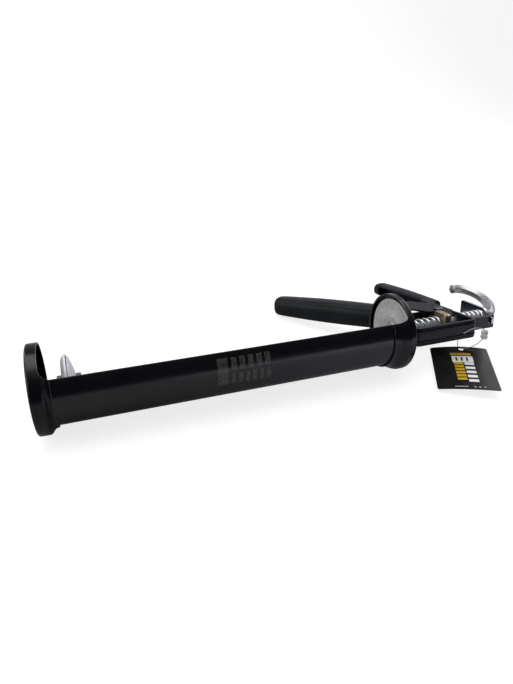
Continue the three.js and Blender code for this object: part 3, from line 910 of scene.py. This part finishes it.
def trigger():
    """The trigger's grip with its two cheeks and the web between them."""
    radii = [(0, 7.6), (0.12, 10.7), (0.5, 11.5), (0.82, 10.6), (0.955, 9.6), (0.988, 8.2),
             (1, 6.2)]
    grip = bar(TRIGGER_LINE, radii, -1, 2.6, 0.97, 0.8)
    corners = [(331.3, -5.5), (329.2, -4.2), (328.5, -1.5), (328.8, 2), (328.8, 8), (320, 12),
               (312.5, 25), (298, 22.5), (291, 32), (300, 46), (318, 50), (326, 47.5), (338, 31),
               (339, 12), (336, 2), (333.8, -4.5)]
    shape = rounded(corners, [1.2, 0.5, 0.8, 1, 2.5, 4, 3, 4, 4, 5, 4, 4, 5, 3, 2, 1.2], 5)
    cheeks = [carved(slab(shape, z0, z1), [pin_hole(12)]) for z0, z1 in ((6.4, 8), (-8, -6.4))]
    between = rounded([(311, 26.5), (298.5, 24), (292.5, 32), (301, 45), (313, 44.5)], 2)
    web = slab(between, -7.1, 7.1)
    piece("trigger_grip", [grip, web, *cheeks], GUN, grip_paint, "trigger", ["trigger"],
          edge=0.4)


def pin_head(side, face=8.3, steps=36):
    """A domed head on the trigger's pin, on one side."""
    angles = [TAU * k / steps for k in range(steps)]
    rings = []
    for out, r in ((0, 4.0), (0.6, 4.0), (1.15, 3.4), (1.5, 2.2)):
        z = side * (face + out)
        rings.append([(PIVOT[0] + r * math.cos(a), PIVOT[1] + r * math.sin(a), z) for a in angles])
    return loft(rings)


def pivot_pin():
    """A pin with two domed heads, through the frame's lugs and the trigger's cheeks."""
    shank = cylinder((*PIVOT, -8.4), (*PIVOT, 8.4), PIN_R)
    piece("trigger_pin", [shank, pin_head(1), pin_head(-1)], GUN, dark_zinc, "gun_frame",
          ["trigger_pivot_pin"], edge=0.1)


# ---------------------------------------------------------------- plates, springs and rod


def bored_plate(outline, corners, thick, foot, steps=8):
    """A plate across the rod with a bore and a foot or neck, both outlines in y and z."""
    bore = cylinder((-5, 0, 0), (5, 0, 0), ROD_BORE)
    body = carved(plate(rounded(outline, corners, steps), -thick / 2, thick / 2), [bore])
    return [body, plate(rounded(foot, 0.6, 3), -thick / 2, thick / 2)]


def driver_plates():
    """Two gripping plates side by side."""
    thick = 2.6
    foot = rectangle(6.5, 16.5, -3.8, 3.8)
    tilted = GUN @ shift(DRIVER_AT, 0, 0) @ Matrix.Rotation(PLATE_TILT, 4, "Z")
    for where, side in (("front", -0.5), ("rear", 0.5)):
        skins = bored_plate(rectangle(-9, 8, -9.5, 9.5), 2.2, thick, foot)
        place = tilted @ shift(side * (thick + CLEAR), 0, 0)
        piece(f"grip_plate_{where}", skins, place, bronze_zinc, "driver", [f"driver_plate_{where}"],
              edge=0.35)


def release_plate():
    """The plate that the thumb presses to free the rod."""
    neck = rectangle(-14, -6.6, -2.7, 2.7)
    skins = bored_plate(rectangle(-7.6, 29.5, -8, 8), [7.4, 2, 2, 7.4], 2.5, neck)
    place = GUN @ shift(RELEASE_AT, 0, 0) @ Matrix.Rotation(PLATE_TILT, 4, "Z")
    piece("thumb_plate", skins, place, release_zinc_painted_shade, "release", ["release_plate"],
          edge=0.45)


def coil_share(t, ends, dead):
    """How far along the spring its wire is after the share t of its turns. The first and last
    turns, a share of ends each, lie closed and take up only the share dead of its length."""
    if t < ends:
        return dead * t / ends
    if t > 1 - ends:
        return 1 - dead * (1 - t) / ends
    return dead + (1 - 2 * dead) * (t - ends) / (1 - 2 * ends)


def spring(x0, x1, turns):
    """A wire helix with a closed coil at each end."""
    steps = turns * 36
    start, end = x0 + WIRE_R, x1 - WIRE_R
    dead = WIRE_R * 2.1 / (end - start)
    points = []
    for i in range(steps + 1):
        t = i / steps
        x = start + (end - start) * coil_share(t, 1.0 / turns, dead)
        a = TAU * turns * t
        points.append(Vector((x, SPRING_R * math.cos(a), SPRING_R * math.sin(a))))
    angles = [TAU * k / 14 for k in range(14)]
    rings = []
    for i, point in enumerate(points):
        along = (points[min(i + 1, steps)] - points[max(i - 1, 0)]).normalized()
        out = Vector((0, point.y, point.z)).normalized()
        side = along.cross(out).normalized()
        rings.append([point + (out * math.cos(a) + side * math.sin(a)) * WIRE_R for a in angles])
    return loft(rings)


def springs():
    """The springs in front of the driver plates and the release plate, each with a mesh of its own."""
    driver = piece("drive_spring", [spring(*DRIVER_SPRING, 7)], GUN, spring_zinc, "gun_frame",
                   ["driver_spring"], edge=0.1)
    release = piece("return_spring", [spring(*RELEASE_SPRING, 6)], GUN, spring_zinc, "gun_frame",
                    ["release_spring"], edge=0.1)
    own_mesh(driver)
    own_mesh(release)


def hexagon(radius, blunt=0.45, phase=0.0):
    """Six flats with slightly blunt corners."""
    angles = [phase + TAU * i / 6 for i in range(6)]
    return rounded([(radius * math.cos(a), radius * math.sin(a)) for a in angles], blunt, 3)


def push_rod():
    """One hexagonal bar from the piston to the end of the pulling hook."""
    bend = [(371, 0), (375.8, 1.2), (380.2, 4.6), (384.2, 9.4), (387.8, 15), (390.4, 21.5),
            (391.6, 28.5), (391.4, 36.4), (388.9, 43.6), (384.8, 48.4), (379.6, 50.8),
            (374.4, 51.1)]
    line = smooth_curve([Vector((x, y, 0)) for x, y in bend], 8)
    line = [Vector((x, 0, 0)) for x in (15, 15.7, *range(30, 370, 10))] + line
    section = hexagon(ROD_R, phase=TAU / 12)
    rings = []
    last = len(line) - 1
    for i, point in enumerate(line):
        along = (line[min(i + 1, last)] - line[max(i - 1, 0)]).normalized()
        out = Vector((-along.y, along.x, 0))
        size = 0.84 if i in (0, last) else 1.0
        rings.append([point + out * (a * size) + Vector((0, 0, b * size)) for a, b in section])
    piece("pull_rod", [loft(rings)], ROD, rod_zinc, "rod", ["push_rod"], edge=0)


def piston():
    """A dished plate with a coned backing behind it, held between two nuts."""
    x, bore, rim = PISTON_AT, ROD_R + CLEAR, PISTON_R
    dish = lathe([(x, bore), (x, 12), (x, rim - 3.4), (x + 0.5, rim - 2.2), (x + 2.4, rim),
                  (x + 3.4, rim), (x + 3.6, rim - 0.4), (x + 3.3, rim - 0.8), (x + 2.7, rim - 0.9),
                  (x + 1.6, rim - 2.7), (x + 1.4, rim - 3.6), (x + 1.4, bore)], 144)
    piece("piston_dish", [dish], ROD, piston_zinc, "rod", ["piston_plate"],
          edge=0.15)
    x += 3.9
    backing = lathe([(x, bore), (x, rim - 1.9), (x + 0.3, rim - 1.4), (x + 0.8, rim - 1.4),
                     (x + 1.2, rim - 1.9), (x + 3.3, 11.8), (x + 3.8, 10), (x + 4, 9.5),
                     (x + 4, bore)], 144)
    piece("piston_washer", [backing], ROD, piston_zinc, "rod", ["piston_backing"],
          edge=0.15)
    for where, start in (("front", PISTON_AT - 3.9), ("rear", PISTON_AT + 8.2)):
        end = start + 3.6
        hole = cylinder((start - 1, 0, 0), (end + 1.4, 0, 0), bore)
        nut = carved(plate(hexagon(7, 0.3), start, end), [hole])
        piece(f"nut_{where}", [nut], ROD, bright_zinc, "rod", [f"piston_nut_{where}"],
              edge=0.4)


# ---------------------------------------------------------------- swing tag


def swing_card():
    """A laminated card with round corners and a punched hole, sprung into a slight curl."""
    half, end = TAG_SIZE[0] / 2, TAG_SIZE[1] / 2
    card = slab(rounded(rectangle(-half, half, -end, end), 1.5, 5), 0, TAG_THICK)
    hole = cylinder((TAG_HOLE_AT, end - 4, -3), (TAG_HOLE_AT, end - 4, 4), TAG_HOLE_R, 48)
    skin = carved(card, [hole])
    cuts = 16
    for reach, normal in ((half, Vector((1, 0, 0))), (end, Vector((0, 1, 0)))):
        for i in range(1, cuts):
            place = normal * reach * (2 * i / cuts - 1) * MM
            everything = skin.verts[:] + skin.edges[:] + skin.faces[:]
            bmesh.ops.bisect_plane(skin, geom=everything, plane_co=place, plane_no=normal)
    for vert in skin.verts:
        across = vert.co.x / (half * MM)
        along = vert.co.y / (end * MM)
        vert.co.z += (1.9 * (1 - across * across) - 0.9) * (3 + along) / 4 * MM
    piece("hang_tag", [skin], TAG, tag_card, "gun_frame", ["swing_tag"], edge=0.1)


cradle_tube()
front_cap()
rear_cap()
retainer_disc()
swivel()
strap_frame()
handle()
trigger()
pivot_pin()
driver_plates()
release_plate()
springs()
push_rod()
piston()
swing_card()

# ---------------------------------------------------------------- floor and light


def floor():
    """A pale floor that rises behind the gun into a backdrop. The camera sees it evenly bright. The
    light it gives off grows towards the hook's end and towards the front."""
    width, near, far, bend, top = 5000, -3000, 1500, 500, 2600
    line = [(near, 0), (-1000, 0), (0, 0), (far - bend, 0)]
    line += [(far - bend + bend * math.sin(a), bend - bend * math.cos(a))
             for a in (math.pi / 2 * i / 24 for i in range(1, 25))]
    line.append((far, top))
    sheet = bmesh.new()
    rows = [[sheet.verts.new(Vector((x, y, z)) * MM) for y, z in line]
            for x in (-width / 2, width / 2)]
    for i in range(len(line) - 1):
        sheet.faces.new((rows[0][i], rows[1][i], rows[1][i + 1], rows[0][i + 1]))
    obj = object_from("floor", [sheet])
    for face in obj.data.polygons:
        face.use_smooth = True
    look = Look("floor", Emission_Strength=1.0, Specular_IOR_Level=0.0)
    straight = look.node("ShaderNodeLightPath").outputs["Is Camera Ray"]
    along = look.span(look.coordinate("X"), -0.12, 0.34, 0.10, 1.0)
    away = look.span(look.coordinate("Y"), -0.12, -0.55, 0.32, 1.5)
    glow = look.mix(look.sums("MULTIPLY", along, away), (0, 0, 0, 1), (0.93, 0.91, 1.06, 1))
    look.feed(look.shader.inputs["Emission Color"], look.mix(straight, glow, (0.80, 0.80, 0.80, 1)))
    colour = look.mix(look.cloud(1.5, 2), (0.34, 0.34, 0.34, 1), (0.36, 0.36, 0.36, 1))
    obj.data.materials.append(look.finish(colour, 0.8, look.bump(look.noise(300), 0.02, 0.0005)))


def softbox(name, at, target, size, watts):
    data = bpy.data.lights.new(name, "AREA")
    data.shape = "RECTANGLE"
    data.size, data.size_y = size
    data.energy = watts
    obj = bpy.data.objects.new(name, data)
    bpy.context.scene.collection.objects.link(obj)
    obj.location = at
    obj.rotation_euler = (Vector(target) - Vector(at)).to_track_quat("-Z", "Y").to_euler()


def world():
    """Studio walls: dim on the camera's side, bright overhead and behind the gun."""
    made = bpy.data.worlds.new("studio")
    made.use_nodes = True
    nodes = made.node_tree.nodes
    link = made.node_tree.links.new
    way = nodes.new("ShaderNodeTexCoord")
    lean = nodes.new("ShaderNodeVectorMath")
    lean.operation = "DOT_PRODUCT"
    lean.inputs[1].default_value = (0.0, 0.9, 1.0)
    link(way.outputs["Generated"], lean.inputs[0])
    level = nodes.new("ShaderNodeMapRange")
    span = {"From Min": 0.25, "From Max": 1.15, "To Min": 0.03, "To Max": 0.8}
    for socket, value in span.items():
        level.inputs[socket].default_value = value
    link(lean.outputs["Value"], level.inputs["Value"])
    link(level.outputs["Result"], nodes["Background"].inputs["Strength"])
    nodes["Background"].inputs["Color"].default_value = (0.97, 0.96, 1.03, 1)
    bpy.context.scene.world = made


floor()
world()
softbox("overhead", (0, 0.35, 1.5), (0, 0.1, 0), (1.6, 1.2), 12)
softbox("left", (-1.2, -0.2, 0.5), (0, 0, 0), (0.8, 0.8), 6)
softbox("back_left", (-1.1, 0.9, 0.9), (0, 0, 0), (0.9, 0.9), 5)
softbox("back_right", (1.3, 0.5, 0.8), (0.1, 0, 0), (0.8, 0.8), 5)
bpy.context.scene.view_settings.view_transform = "Standard"
